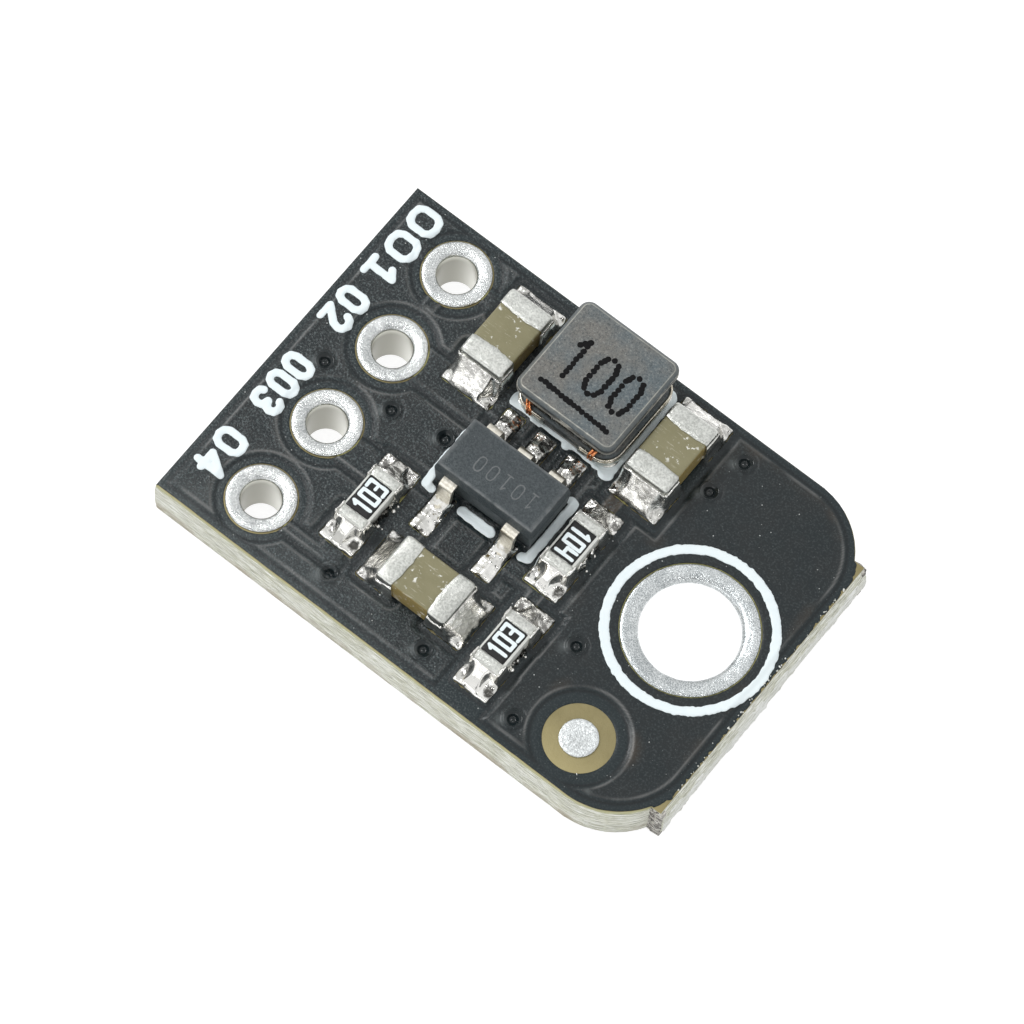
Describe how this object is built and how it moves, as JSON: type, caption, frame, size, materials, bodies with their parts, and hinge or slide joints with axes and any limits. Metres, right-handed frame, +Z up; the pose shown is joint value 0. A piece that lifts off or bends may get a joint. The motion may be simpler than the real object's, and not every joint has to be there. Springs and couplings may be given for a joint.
{
  "type": "buck converter module",
  "caption": "Small dark circuit board that steps a voltage down, with a power inductor, a regulator chip, capacitors, resistors, header holes and one mounting hole.",
  "frame": {"origin": "centre of the box's plan, at the underside of the board", "axes": "+X from the header edge to the mounting hole edge, +Y towards the long edge beside the ground pin, +Z up from the underside to the parts"},
  "size_m": [0.0148, 0.0102, 0.003],
  "materials": {
    "laminate": "matte",
    "solder_mask": "satin",
    "legend_ink": "matte",
    "copper": "satin",
    "wire": "satin",
    "tinned_copper": "satin",
    "solder": "polished",
    "lead_plating": "satin",
    "terminal_plating": "matte",
    "moulding": "matte",
    "silicon": "polished",
    "ferrite": "matte",
    "resin": "gloss",
    "capacitor_ceramic": "satin",
    "alumina": "matte",
    "overcoat": "satin"
  },
  "bodies": {
    "root": {"pcb_laminate": "laminate", "top_copper": "copper", "via_barrels": "copper", "inductor_wire_ends": "wire", "inductor_winding": "wire", "top_solder_mask": "solder_mask", "bottom_solder_mask": "solder_mask", "top_legend": "legend_ink", "fiducial_pad": "tinned_copper", "mounting_hole_barrel": "tinned_copper", "header_barrel_1": "tinned_copper", "header_barrel_2": "tinned_copper", "header_barrel_3": "tinned_copper", "header_barrel_4": "tinned_copper", "regulator_body": "moulding", "regulator_die": "silicon", "regulator_lead_1": "lead_plating", "regulator_lead_2": "lead_plating", "regulator_lead_3": "lead_plating", "regulator_lead_4": "lead_plating", "regulator_lead_5": "lead_plating", "regulator_solder_joints": "solder", "inductor_solder_joints": "solder", "capacitor_1_solder_joints": "solder", "capacitor_2_solder_joints": "solder", "capacitor_3_solder_joints": "solder", "resistor_1_solder_joints": "solder", "resistor_2_solder_joints": "solder", "resistor_3_solder_joints": "solder", "inductor_core": "ferrite", "inductor_resin": "resin", "inductor_terminal_1": "terminal_plating", "inductor_terminal_2": "terminal_plating", "capacitor_1_terminal_1": "terminal_plating", "capacitor_1_terminal_2": "terminal_plating", "capacitor_2_terminal_1": "terminal_plating", "capacitor_2_terminal_2": "terminal_plating", "capacitor_3_terminal_1": "terminal_plating", "capacitor_3_terminal_2": "terminal_plating", "resistor_1_terminal_1": "terminal_plating", "resistor_1_terminal_2": "terminal_plating", "resistor_2_terminal_1": "terminal_plating", "resistor_2_terminal_2": "terminal_plating", "resistor_3_terminal_1": "terminal_plating", "resistor_3_terminal_2": "terminal_plating", "capacitor_1_ceramic": "capacitor_ceramic", "capacitor_2_ceramic": "capacitor_ceramic", "capacitor_3_ceramic": "capacitor_ceramic", "resistor_1_substrate": "alumina", "resistor_2_substrate": "alumina", "resistor_3_substrate": "alumina", "resistor_1_overcoat": "overcoat", "resistor_2_overcoat": "overcoat", "resistor_3_overcoat": "overcoat"}
  },
  "joints": []
}
